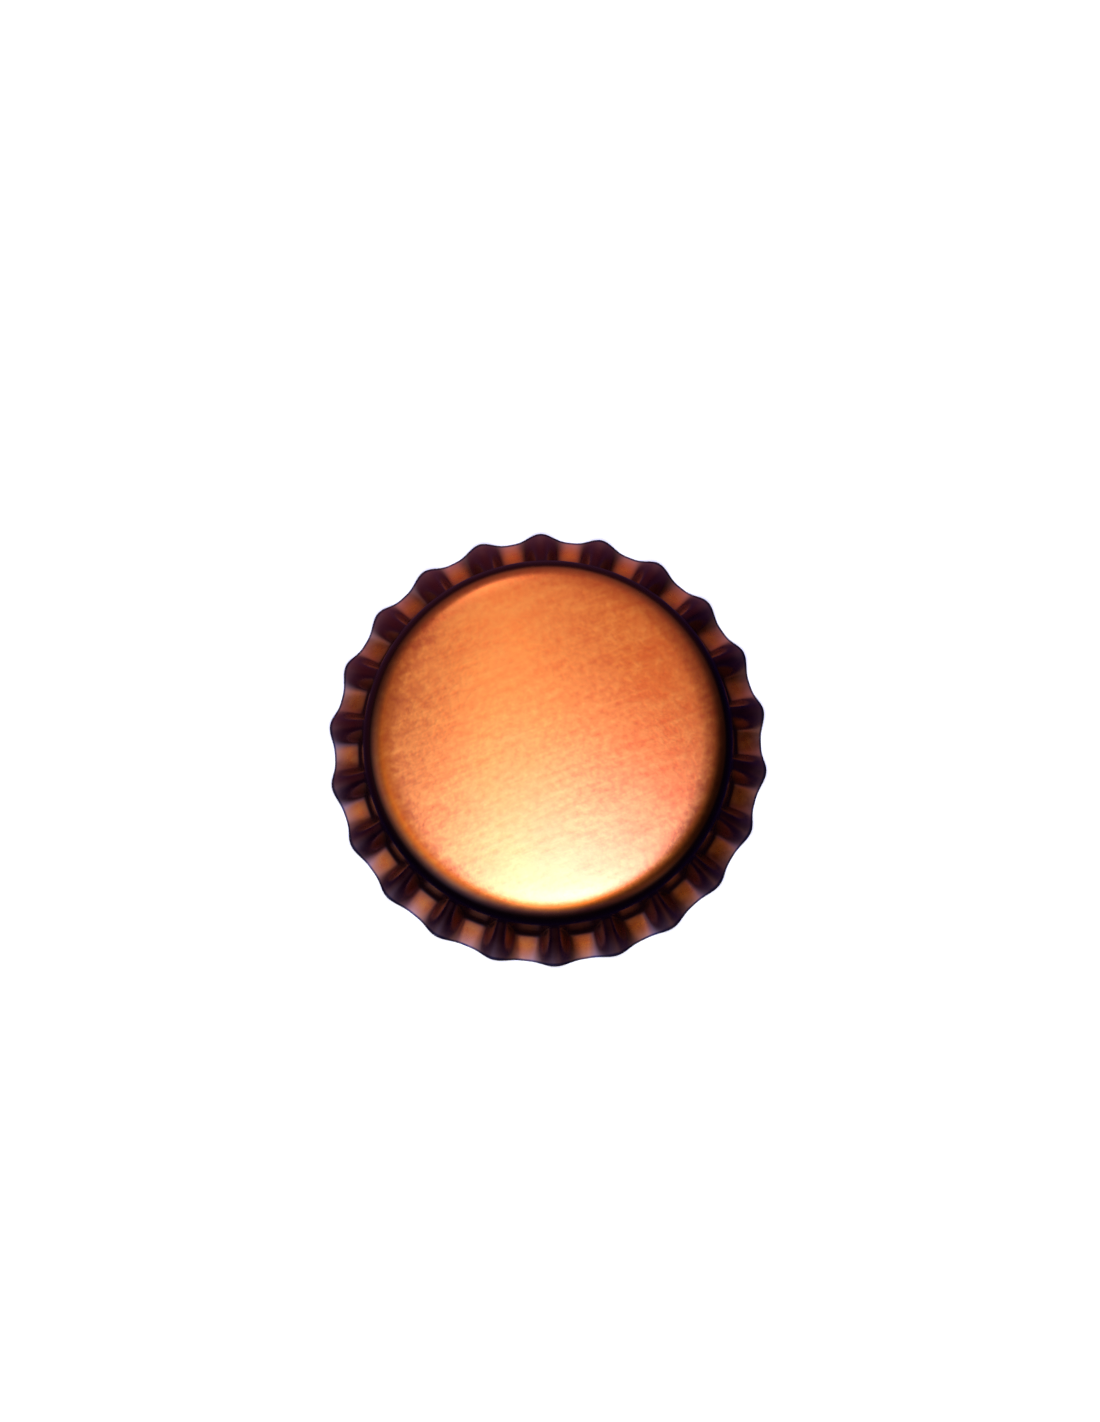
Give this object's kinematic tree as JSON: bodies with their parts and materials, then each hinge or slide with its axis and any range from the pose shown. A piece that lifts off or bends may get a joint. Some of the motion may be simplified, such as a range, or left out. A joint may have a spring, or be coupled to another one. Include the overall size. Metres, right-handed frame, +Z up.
{
  "type": "bottle cap",
  "caption": "Round pressed metal cap for a glass bottle: shallow domed panel, rounded shoulder, flared fluted skirt, and a moulded seal inside.",
  "frame": {"origin": "on the cap's axis, at the height of the lowest points of the skirt's cut edge, where it stands mouth down", "axes": "+Z up the axis through the panel, away from the mouth; +X out through one ridge of the skirt"},
  "size_m": [0.032, 0.0316, 0.006],
  "materials": {
    "lacquered_sheet": "satin copper-coloured lacquer on tin-free steel, with a fine rolled grain",
    "seal": "soft moulded polymer, off-white and slightly translucent"
  },
  "bodies": {
    "root": {"shell": "lacquered_sheet", "liner": "seal"}
  },
  "joints": []
}
